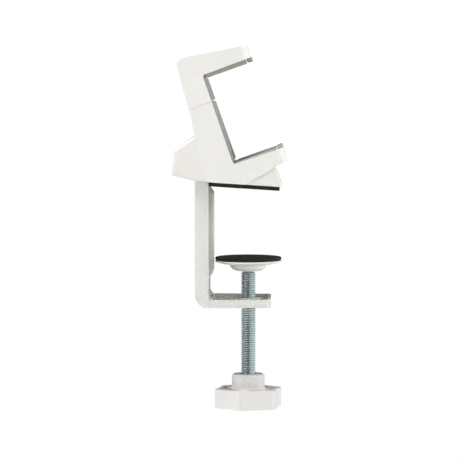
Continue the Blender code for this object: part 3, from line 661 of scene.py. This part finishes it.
# %% Upper jaw
def upper_jaw():
    split = PARTING + SEAM / 2
    outline = [(0.25, split), (0.4, MOUTH), (REACH - 0.6, MOUTH + 0.4), (REACH, MOUTH + 7.2),
               (2.1 - SPINE_DEPTH, MOUTH + 13.1), (-SPINE_DEPTH, split)]
    jaw = rounded_c("sliding_jaw_shell", outline)
    join(jaw, lip_rib(MOUTH - UPPER_PAD_FACE + 0.9, MOUTH + 2))
    cut(jaw, guide_slot(PARTING - 1, MOUTH - 0.2), *spring_channels(PARTING - 1, PIN_HIGH + 3.2))
    return smooth(jaw)


finished(upper_jaw(), MOULDING, "sliding_jaw", "upper_jaw")


# %% Housing under the lower jaw
def base_crossing(start, end, matrix):
    """Where a line of a side outline meets the plane of the housing's rim."""
    points = [matrix @ Vector((point[0], 0, point[1])) for point in (start, end)]
    heights = [(TABLE.inverted() @ point).z - BASE for point in points]
    share = heights[0] / (heights[0] - heights[1])
    return tuple(Vector(start).lerp(Vector(end), share))


def buttress():
    """Rear swelling of the housing, flush with the cradle in front, narrower behind."""
    foot, crest, top = Vector((-22.2, 3.7)), Vector((-28.8, 28.5)), Vector((-39.7, 21.2))
    inside = crest + (crest - top).normalized() * 4
    side = [inside, top, (-41.7, 7.0), (-28.8, 4.16), base_crossing((-19, 9), (-18, -9), UPRIGHT)]
    lean = math.atan2(foot.x - crest.x, crest.y - foot.y)
    crease = Matrix.Translation(Vector((foot.x, 0, foot.y)) * MM) @ Matrix.Rotation(-lean, 4, "Y")
    plan = [(9, -HALF), (9, HALF), (0, HALF), (-19.5, HALF - 8), (-19.5, 8 - HALF), (0, -HALF)]

    def radius(a, b, middle):
        if middle.x > -3 and abs(a.y - b.y) > 1:
            return 0.0
        return 1.5 if abs(middle.y) < HALF - 0.2 and middle.x < -3 else 0.7

    body = keep(beside("buttress", side, HALF), extruded("plan", plan, -FAR, FAR, crease))
    return round_edges(body, radius, crease, 4)


def wedge():
    """Block under the lower jaw, a little narrower than the cradle."""
    side = [(-12, 8), (14.4, 13.8), base_crossing((14.4, 13.8), (20.54, -6), UPRIGHT),
            base_crossing((-12, 8), (-12, -6), UPRIGHT)]
    return round_edges(beside("wedge", side, HALF - 0.4), lambda a, b, middle: 0.5, segments=4)


def housing():
    split = PARTING - SEAM / 2
    under, behind = [(REACH - 0.4, -7.2), (-2.0, -13.2)], [(-17.1, -10.3), (-14.7, 21.5)]
    outline = [(0, 0.2), (REACH + 0.4, -0.2), under[0], base_crossing(*under, CRADLE_MM),
               base_crossing(*behind, CRADLE_MM), behind[1], (0.4 - SPINE_DEPTH, split), (0.25, split)]
    body = rounded_c("housing_shell", outline)
    join(body, wedge(), buttress(), lip_rib(-2, PAD_FACE))
    arm = [(-29.1, -22.3), (-1.9, -22.3), (-1.3, -21.1), (16.8, -21.1), (16.8, 21.1), (-1.3, 21.1),
           (-1.9, 22.3), (-29.1, 22.3)]
    hollow = beside("hollow", [(-27, 24), (-37.7, 19.8), (-39.3, -3), (-25, -3)], 17)
    cut(body, extruded("pocket", arm, -8, 5.75, TABLE), hollow)
    cut(body, guide_slot(5.0, PARTING + 1), *spring_channels(PIN_LOW - 3.2, PARTING + 1))
    return smooth(body)


finished(housing(), MOULDING, "stand", "holder_body")

# %% [markdown]
# ## Lining and table pads
#
# The grey lining is cut from sheet and glued in, so its edges are only slightly soft.
# It lies on the moulding without a gap, which is why each strip reaches a little
# deeper than its CAD node. The lower jaw's strip is also thinner than its node, because
# hardly any of its edge shows. The black pads under the housing are rubber.


# %% Pads
LOW, HIGH = 0, 1


def pad(node, place, edge, changes):
    """Rounded strip on a CAD node's box; a change is (end, axis, distance)."""
    inverse = place.inverted()
    points = [inverse @ vertex.co / MM for vertex in frame["nodes"][node].data.vertices]
    low = [min(point[axis] for point in points) for axis in range(3)]
    high = [max(point[axis] for point in points) for axis in range(3)]
    for end, axis, distance in changes:
        (low, high)[end][axis] += distance
    shape = round_edges(block(node + "_soft", low, high, place), lambda *_: edge, segments=3)
    return smooth(shape)


STRIPS = (("lower_back_pad", "stand", ((LOW, 0, -0.5),)),
          ("lower_jaw_pad", "stand", ((LOW, 2, -0.5), (HIGH, 2, -0.45))),
          ("lower_lip_pad", "stand", ((LOW, 2, -1.0),)),
          ("upper_back_pad", "sliding_jaw", ((LOW, 0, -0.5),)),
          ("upper_jaw_pad", "sliding_jaw", ((HIGH, 2, 0.6),)),
          ("upper_lip_pad", "sliding_jaw", ((HIGH, 2, 0.9),)))
for node, body, changes in STRIPS:
    finished(pad(node, CRADLE, 0.25, changes), LINING, body, node)
for node, change in (("table_pad_rear", (LOW, 0, -0.6)), ("table_pad_front", (LOW, 0, -0.5))):
    finished(pad(node, TABLE, 0.25, (change, (HIGH, 2, 0.25))), RUBBER, "stand", node)

# %% [markdown]
# ## Bracket
#
# One painted casting: a flat bar with a raised rib on its inner face, and a foot with a
# shallow trough in which the tapped boss stands. Two little gussets stiffen the inner
# corner. The top arm lies hidden in the housing, above the table pads.

# %% Bracket sizes, in millimetres
disc_low, disc_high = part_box("pressure_disc")
DISC_RADIUS = (disc_high[0] - disc_low[0]) / 2 / MM
RIB_HEIGHT = 2.45
BAR_FRONT = -(DISC_RADIUS + 0.75 + RIB_HEIGHT)
BAR_BACK = BAR_FRONT - 7.4
BRACKET_HALF = HALF - 5.0
FOOT_LOW, FOOT_TOP, FOOT_END = -65.0, -60.6, 12.4
TIP_HALF = BRACKET_HALF - 2.6
TROUGH, TROUGH_WALL = 2.7, 1.7


def arm_screw_places():
    for x, y in ((-8.0, BRACKET_HALF - 8.0), (9.5, HALF - 1.2 - 5.0 - 6.5)):
        for side in (-1, 1):
            yield TABLE @ Matrix.Translation(Vector((x, side * y, 0)) * MM)


def heel_and_tip(a, b, middle):
    if abs(a.y - b.y) > 1:
        if middle.x < BAR_BACK + 1 and middle.z < 0:
            return 7.3
        return 1.3 if abs(middle.x - BAR_FRONT) < 0.5 and middle.z < 0 else 0.0
    return 2.6 if middle.x > FOOT_END - 0.5 else 0.0


def casting_rim(a, b, middle):
    return 0.0 if middle.z > 0 and abs(a.y - b.y) > 1 else 0.9


# %% Bracket casting
def bar_and_foot():
    side = [(FOOT_END, FOOT_LOW), (BAR_BACK, FOOT_LOW), (BAR_BACK, 6.2), (BAR_FRONT, 6.2),
            (BAR_FRONT, FOOT_TOP), (FOOT_END, FOOT_TOP)]
    plan = [(BAR_BACK - 1, -BRACKET_HALF), (BAR_FRONT, -BRACKET_HALF), (FOOT_END, -TIP_HALF),
            (FOOT_END, TIP_HALF), (BAR_FRONT, BRACKET_HALF), (BAR_BACK - 1, BRACKET_HALF)]
    casting = keep(beside("bracket_casting", side, BRACKET_HALF), extruded("plan", plan, -FAR, FAR))
    casting = round_edges(casting, heel_and_tip, segments=8)
    return round_edges(casting, casting_rim, segments=4)


def trough():
    start, end = BAR_FRONT + 2.0, FOOT_END - TROUGH_WALL
    plan = [(start, TROUGH_WALL - BRACKET_HALF), (end, TROUGH_WALL - TIP_HALF), (end, TIP_HALF - TROUGH_WALL),
            (start, BRACKET_HALF - TROUGH_WALL)]
    hole = extruded("trough", plan, FOOT_TOP - TROUGH, FOOT_TOP + 3)
    return round_edges(hole, lambda a, b, middle: 0.9 if middle.z < FOOT_TOP + 2 else 0.0, segments=4)


def boss():
    top, low, radius, soft = FOOT_TOP - 0.2, FOOT_LOW - 0.4, 7.0, 0.5
    return turned("boss", [(0, top), (radius - soft, top), (radius - 0.15, top - 0.15), (radius, top - soft),
                           (radius, low + 0.3), (radius - 0.3, low), (0, low)], sides=72)


def rib():
    face = BAR_FRONT + RIB_HEIGHT
    side = [(BAR_FRONT - 1, 0.5), (BAR_FRONT, 0.5), (face, -3.1), (face, -46.2), (BAR_FRONT, -49.8),
            (BAR_FRONT - 1, -49.8)]
    return round_edges(beside("rib", side, 9),
                       lambda a, b, middle: 0.8 if middle.x > BAR_FRONT + 0.2 else 0.0, segments=4)


def gussets():
    low, high = FOOT_TOP - TROUGH - 0.5, FOOT_TOP + 3.8
    side = [(BAR_FRONT - 0.5, low), (BAR_FRONT - 0.5, high), (BAR_FRONT + 3.8, low)]
    for middle in (5 - BRACKET_HALF, BRACKET_HALF - 5):
        yield extruded("gusset", side, middle - 1, middle + 1, SIDE)


def bracket():
    casting = cut(bar_and_foot(), trough())
    arm = [(BAR_BACK + 0.5, -21.5), (-2, -21.5), (-2, -20.5), (16.3, -20.5), (16.3, 20.5), (-2, 20.5),
           (-2, 21.5), (BAR_BACK + 0.5, 21.5)]
    join(casting, extruded("arm", arm, BASE, BASE + 3.2, TABLE), rib(), boss(), *gussets())
    cut(casting, round_bar("tapping", 4.3, FOOT_LOW - 2, FOOT_TOP + 2, sides=64))
    for place in arm_screw_places():
        cut(casting, round_bar("shank", 2.0, 1.5, 7, place, 32), round_bar("head", 3.1, 1.5, 4.3, place, 32))
    return smooth(casting)


finished(bracket(), SHADED_POWDER_COAT, "stand", "clamp_bracket")

# %% [markdown]
# ## Screw thread
#
# An M8 thread rises 1.25 mm a turn. A grid whose rows climb by one pitch per turn,
# rolled into a tube, gives crisp crests, because every row keeps one place on the
# thread's profile. A node tree does this: it works out height and radius for each
# grid point, and flattens the rows that would pass the ends. Welding the tube's seam
# and the flattened rows leaves a closed rod.


# %% Tools for trees
def new_tree(name, **inputs):
    """Tree with named inputs of the given kinds, such as Count="Int", and one Geometry output."""
    tree = bpy.data.node_groups.new(name, "GeometryNodeTree")
    for label, kind in inputs.items():
        tree.interface.new_socket(label.replace("_", " "), in_out="INPUT", socket_type="NodeSocket" + kind)
    tree.interface.new_socket("Geometry", in_out="OUTPUT", socket_type="NodeSocketGeometry")
    return tree, tree.nodes.new("NodeGroupInput").outputs


def finish_tree(tree, geometry, finish):
    """End a tree: real geometry with its material."""
    real = tree.nodes.new("GeometryNodeRealizeInstances")
    tree.links.new(geometry, real.inputs["Geometry"])
    coat = tree.nodes.new("GeometryNodeSetMaterial")
    tree.links.new(real.outputs[0], coat.inputs["Geometry"])
    tree.links.new(finish, coat.inputs["Material"])
    result = tree.nodes.new("NodeGroupOutput")
    tree.links.new(coat.outputs[0], result.inputs["Geometry"])


def maths(tree, operation, *values):
    """Math node on sockets or plain numbers; gives its output socket."""
    node = tree.nodes.new("ShaderNodeMath")
    node.operation = operation
    for socket, value in zip(node.inputs, values):
        if isinstance(value, (int, float)):
            socket.default_value = value
        else:
            tree.links.new(value, socket)
    return node.outputs[0]


def from_tree(name, tree, values, mesh=None):
    """Run a tree with named inputs, on a mesh if it needs one, and keep the plain mesh it makes."""
    made = bpy.data.objects.new(name, mesh or bpy.data.meshes.new(name))
    bpy.context.scene.collection.objects.link(made)
    step = made.modifiers.new("nodes", "NODES")
    step.node_group = tree
    for item in tree.interface.items_tree:
        if item.in_out == "INPUT" and item.name in values:
            step[item.identifier] = values[item.name]
    return applied(made)


# %% Thread tree
COLUMNS, ROWS_PER_TURN = 48, 8


def thread_tree():
    """Rolls a grid whose rows climb one pitch a turn into a threaded rod."""
    tree, entry = new_tree("rolled_thread", Low="Float", High="Float", Radius="Float", Depth="Float",
                           Pitch="Float", Finish="Material")
    length = maths(tree, "SUBTRACT", entry["High"], entry["Low"])
    turns = maths(tree, "ADD", maths(tree, "CEIL", maths(tree, "DIVIDE", length, entry["Pitch"])), 2.0)
    rows = maths(tree, "ADD", maths(tree, "MULTIPLY", turns, float(ROWS_PER_TURN)), 1.0)
    grid = tree.nodes.new("GeometryNodeMeshGrid")
    grid.inputs["Vertices X"].default_value = COLUMNS + 1
    tree.links.new(rows, grid.inputs["Vertices Y"])
    index = tree.nodes.new("GeometryNodeInputIndex").outputs[0]
    column = maths(tree, "FLOOR", maths(tree, "DIVIDE", index, rows))
    row = maths(tree, "SUBTRACT", index, maths(tree, "MULTIPLY", column, rows))
    share = maths(tree, "DIVIDE", column, float(COLUMNS))
    angle = maths(tree, "MULTIPLY", share, 2 * math.pi)
    climb = maths(tree, "ADD", maths(tree, "DIVIDE", row, float(ROWS_PER_TURN)), share)
    rise = maths(tree, "MULTIPLY", maths(tree, "SUBTRACT", climb, 1.5), entry["Pitch"])
    height = maths(tree, "ADD", entry["Low"], rise)
    level = maths(tree, "MINIMUM", maths(tree, "MAXIMUM", height, entry["Low"]), entry["High"])
    phase = maths(tree, "FRACT", maths(tree, "DIVIDE", row, float(ROWS_PER_TURN)))
    ridge = maths(tree, "ABSOLUTE", maths(tree, "SUBTRACT", maths(tree, "MULTIPLY", phase, 2.0), 1.0))
    crest = maths(tree, "MINIMUM", maths(tree, "MAXIMUM", maths(tree, "MULTIPLY", ridge, 1.25), 0.12), 1.0)
    radius = maths(tree, "ADD", maths(tree, "SUBTRACT", entry["Radius"], entry["Depth"]),
                   maths(tree, "MULTIPLY", crest, entry["Depth"]))
    upper_room = maths(tree, "SUBTRACT", entry["High"], level)
    lower_room = maths(tree, "SUBTRACT", level, entry["Low"])
    lead = maths(tree, "ADD", maths(tree, "MINIMUM", upper_room, lower_room),
                 maths(tree, "SUBTRACT", entry["Radius"], maths(tree, "MULTIPLY", entry["Depth"], 1.15)))
    radius = maths(tree, "MINIMUM", radius, lead)
    place = tree.nodes.new("ShaderNodeCombineXYZ")
    tree.links.new(maths(tree, "MULTIPLY", radius, maths(tree, "COSINE", angle)), place.inputs["X"])
    tree.links.new(maths(tree, "MULTIPLY", radius, maths(tree, "SINE", angle)), place.inputs["Y"])
    tree.links.new(level, place.inputs["Z"])
    roll = tree.nodes.new("GeometryNodeSetPosition")
    tree.links.new(grid.outputs["Mesh"], roll.inputs["Geometry"])
    tree.links.new(place.outputs[0], roll.inputs["Position"])
    weld = tree.nodes.new("GeometryNodeMergeByDistance")
    weld.inputs["Distance"].default_value = 0.000002
    tree.links.new(roll.outputs[0], weld.inputs["Geometry"])
    finish_tree(tree, weld.outputs[0], entry["Finish"])
    return tree


THREAD_RADIUS, PITCH = 4.0, 1.25
THREAD_DEPTH, SHOULDER = 0.68, -46.9
thread = from_tree("clamp_screw_thread", thread_tree(), {
    "Low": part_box("knob")[0][2] + 7.5 * MM, "High": SHOULDER * MM, "Radius": THREAD_RADIUS * MM,
    "Depth": THREAD_DEPTH * MM, "Pitch": PITCH * MM, "Finish": ZINC})
print("thread:", len(thread.data.vertices), "points")


# %% Screw body
def screw_body():
    """Neck above the thread and hexagonal head below it, joined to the rolled thread."""
    solid = bmesh.new()
    solid.from_mesh(thread.data)
    loops = [edge for edge in solid.edges if edge.is_boundary]
    bmesh.ops.holes_fill(solid, edges=loops)
    bmesh.ops.recalc_face_normals(solid, faces=solid.faces)
    solid.to_mesh(thread.data)
    solid.free()
    thread.name = "zinc_clamp_screw"
    neck = turned("neck", [(0, -42.4), (1.4, -42.4), (1.6, -42.6), (1.6, -47.5), (0, -47.5)], sides=32)
    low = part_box("clamp_screw")[0][2] / MM
    head = ring_of_points(7.5, 6)
    join(thread, neck, extruded("head", head, low, low + 5.3))
    thread.data.shade_smooth()
    thread.data.set_sharp_from_angle(angle=math.radians(50))
    return thread


finished(screw_body(), ZINC, "screw", "clamp_screw")

# %% [markdown]
# ## Knob
#
# A six-sided hand knob whose sides curve in a little for the fingers. Six pockets in
# its top face keep the moulding's wall even, and leave ribs that run from the hub to
# the corners. One pocket is drawn, and a node tree sets six of them on a circle.

# %% Knob sizes, in millimetres
KNOB_LOW, KNOB_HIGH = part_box("knob")[0][2] / MM, -111.2
HUB_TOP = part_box("knob")[1][2] / MM
KNOB_RADIUS, KNOB_CORNER, KNOB_HOLLOW, KNOB_TURN = 19.67, 2.2, 0.8, 17.4
HUB_RADIUS = 9.0


def knob_outline(steps=6):
    """Hexagon whose sides curve in by the hollow."""
    corners = [Vector(point) for point in ring_of_points(KNOB_RADIUS, 6, math.radians(KNOB_TURN))]
    outline = []
    for corner, following in zip(corners, corners[1:] + corners[:1]):
        inward = -(corner + following).normalized()
        for step in range(steps):
            share = step / steps
            outline.append(corner.lerp(following, share) + inward * 4 * KNOB_HOLLOW * share * (1 - share))
    return outline


# %% Ring of pockets
def ring_tree():
    """Copies a piece evenly round Z."""
    tree, entry = new_tree("ring_of_copies", Piece="Object", Count="Int", Start="Float", Finish="Material")
    points = tree.nodes.new("GeometryNodePoints")
    tree.links.new(entry["Count"], points.inputs["Count"])
    info = tree.nodes.new("GeometryNodeObjectInfo")
    tree.links.new(entry["Piece"], info.inputs["Object"])
    index = tree.nodes.new("GeometryNodeInputIndex").outputs[0]
    turn = maths(tree, "ADD", entry["Start"],
                 maths(tree, "DIVIDE", maths(tree, "MULTIPLY", index, 2 * math.pi), entry["Count"]))
    spin = tree.nodes.new("ShaderNodeCombineXYZ")
    tree.links.new(turn, spin.inputs["Z"])
    copies = tree.nodes.new("GeometryNodeInstanceOnPoints")
    tree.links.new(points.outputs[0], copies.inputs["Points"])
    tree.links.new(info.outputs["Geometry"], copies.inputs["Instance"])
    tree.links.new(spin.outputs[0], copies.inputs["Rotation"])
    finish_tree(tree, copies.outputs[0], entry["Finish"])
    return tree


RING = ring_tree()


def knob_pockets():
    near, far = HUB_RADIUS + 0.8, HUB_RADIUS + 5.0
    pocket = [(near, -2.4), (far, -5.4), (far, 5.4), (near, 2.4)]
    one = extruded("one_pocket", pocket, KNOB_HIGH - 5.0, KNOB_HIGH + 1)
    ring = from_tree("pockets", RING, {"Piece": one, "Count": 6, "Start": math.radians(KNOB_TURN + 30),
                                       "Finish": KNOB_SHADED_WHITE})
    bpy.data.objects.remove(one)
    return ring


def knob_corners(a, b, middle):
    upright, from_axis = abs(a.z - b.z) > 1, math.hypot(middle.x, middle.y)
    return KNOB_CORNER if upright and from_axis > HUB_RADIUS + 6 else 0.0


def knob_rims(a, b, middle):
    if math.hypot(middle.x, middle.y) < HUB_RADIUS + 6:
        return 0.45
    return 0.8 if middle.z > KNOB_HIGH - 1 else 1.1


# %% Knob moulding
def knob():
    grip = extruded("hand_knob", knob_outline(), KNOB_LOW, KNOB_HIGH)
    cut(grip, knob_pockets())
    grip = round_edges(grip, knob_corners, segments=8)
    grip = round_edges(grip, knob_rims, segments=4)
    soft = 1.3
    arc = [(HUB_RADIUS - soft * (1 - math.sin(turn)), HUB_TOP - soft * (1 - math.cos(turn)))
           for turn in (math.radians(15 * step) for step in range(7))]
    flare = [(HUB_RADIUS + 0.15, KNOB_HIGH + 1.2), (HUB_RADIUS + 0.4, KNOB_HIGH + 0.5),
             (HUB_RADIUS + 0.75, KNOB_HIGH + 0.1), (HUB_RADIUS + 0.75, KNOB_HIGH - 5.5)]
    hub = turned("hub", [(0, HUB_TOP), *arc, *flare, (0, KNOB_HIGH - 5.5)])
    join(grip, hub)
    cut(grip, round_bar("bore", 4.3, -150, HUB_TOP + 1),
        extruded("recess", ring_of_points(7.85, 6), -150, -114.4),
        round_bar("cap_recess", HUB_RADIUS + GAP, -150, KNOB_LOW + 1.3, sides=64))
    return smooth(grip)


finished(knob(), KNOB_SHADED_WHITE, "screw", "knob")

# %% [markdown]
# ## Pressure pad
#
# A turned dish that snaps over the ball on the screw's neck, with a rubber disc glued
# on. The dish's rim is thin, then comes a shallow cone, then the dome of the socket.


# %% Pressure plate and disc
def pressure_plate():
    top, rim, bottom = -40.3, -41.4, -46.31
    dome = [(4.6 + 5.6 * math.cos(turn), rim - 1.4 - (rim - 1.4 - bottom) * math.sin(turn))
            for turn in (math.radians(9 * step) for step in range(1, 11))]
    profile = [(0, top), (17.7, top), (18.05, top - 0.1), (18.2, top - 0.45), (18.1, rim + 0.25),
               (17.6, rim - 0.05), (14.2, rim - 0.9), (11.6, rim - 1.15), (10.6, rim - 1.3), (10.2, rim - 1.55),
               *dome, (0, bottom)]
    plate = turned("pressure_dish", profile)
    socket = turned("socket", [(0, -40.7)] + [(3.3 * math.sin(turn), -44 + 3.3 * math.cos(turn)) for turn in
                                              (math.radians(9 * step) for step in range(1, 20))] + [(0, -47.3)],
                    sides=48)
    cut(plate, socket, round_bar("mouth", 2.5, -50, -44, sides=48))
    return smooth(plate)


def pressure_disc():
    low, high = disc_low[2] / MM, disc_high[2] / MM
    profile = [(0, high), (DISC_RADIUS - 0.7, high), (DISC_RADIUS - 0.3, high - 0.08),
               (DISC_RADIUS - 0.06, high - 0.35), (DISC_RADIUS, high - 0.7), (DISC_RADIUS, low + 0.3),
               (DISC_RADIUS - 0.25, low), (0, low)]
    return smooth(turned("rubber_disc", profile))


finished(pressure_plate(), MOULDING, "pad", "pressure_plate")
finished(pressure_disc(), RUBBER, "pad", "pressure_disc")

# %% [markdown]
# ## Springs
#
# Each spring is a coil with a hook round a pin at either end. A node tree turns the
# middle line into wire. The springs cross the sliding joint; the real ones stretch as
# the jaw slides, but here each is one fixed mesh, on neither body.


# %% Spring tree
def wire_tree():
    """Round wire along a line of points."""
    tree, entry = new_tree("round_wire", Geometry="Geometry", Wire_Radius="Float", Finish="Material")
    line = tree.nodes.new("GeometryNodeMeshToCurve")
    tree.links.new(entry["Geometry"], line.inputs["Mesh"])
    ring = tree.nodes.new("GeometryNodeCurvePrimitiveCircle")
    ring.inputs["Resolution"].default_value = 12
    tree.links.new(entry["Wire Radius"], ring.inputs["Radius"])
    wire = tree.nodes.new("GeometryNodeCurveToMesh")
    wire.inputs["Fill Caps"].default_value = True
    tree.links.new(line.outputs[0], wire.inputs["Curve"])
    tree.links.new(ring.outputs[0], wire.inputs["Profile Curve"])
    finish_tree(tree, wire.outputs[0], entry["Finish"])
    return tree


WIRE = wire_tree()
COIL_RADIUS, WIRE_RADIUS, TURNS, PER_TURN = 2.1, 0.35, 12, 28


def spring_line():
    """Middle line of one spring, along the cradle's spine."""
    low, high = PIN_LOW + 2.6 * COIL_RADIUS, PIN_HIGH - 2.6 * COIL_RADIUS
    points = [(COIL_RADIUS * math.cos(turn), 0, PIN_LOW + COIL_RADIUS * math.sin(turn))
              for turn in (math.radians(-180 + 10 * step) for step in range(18))]
    for step in range(TURNS * PER_TURN + 1):
        turn = 2 * math.pi * step / PER_TURN
        points.append((COIL_RADIUS * math.cos(turn), COIL_RADIUS * math.sin(turn),
                       low + (high - low) * step / (TURNS * PER_TURN)))
    points += [(COIL_RADIUS * math.cos(turn), 0, PIN_HIGH + COIL_RADIUS * math.sin(turn))
               for turn in (math.radians(10 * step) for step in range(1, 19))]
    return points


def spring(name, side):
    place = CRADLE @ Matrix.Translation(Vector((-PLATE_DEPTH, side, 0)) * MM)
    points = [place @ (Vector(point) * MM) for point in spring_line()]
    mesh = bpy.data.meshes.new(name)
    mesh.from_pydata(points, [(index, index + 1) for index in range(len(points) - 1)], [])
    made = from_tree(name, WIRE, {"Wire Radius": WIRE_RADIUS * MM, "Finish": SPRING_STEEL}, mesh)
    made.data.shade_smooth()
    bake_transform(made)
    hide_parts(name.replace("coil", "spring"))
    print(f"{name}: {len(made.data.polygons)} faces")


spring("tension_coil_left", SPRING_SIDE)
spring("tension_coil_right", -SPRING_SIDE)

# %% [markdown]
# ## Hidden fittings
#
# The small screws, pins, guide plate, ball and knob cap already have their right
# shapes in the frame. They only need their finishes.

# %% Finishes for the fittings
FITTINGS = {"jaw_slider": ACETAL, "spring_pin_upper": SPRING_STEEL, "spring_pin_lower": SPRING_STEEL,
            "swivel_ball": ZINC, "knob_cap": KNOB_SHADED_WHITE, "slider_screw_1": ZINC, "slider_screw_2": ZINC}
FITTINGS.update({f"bracket_screw_{number}": ZINC for number in range(1, 5)})
for node, finish in FITTINGS.items():
    fitting = frame["nodes"][node]
    fitting.data.materials.clear()
    fitting.data.materials.append(finish)
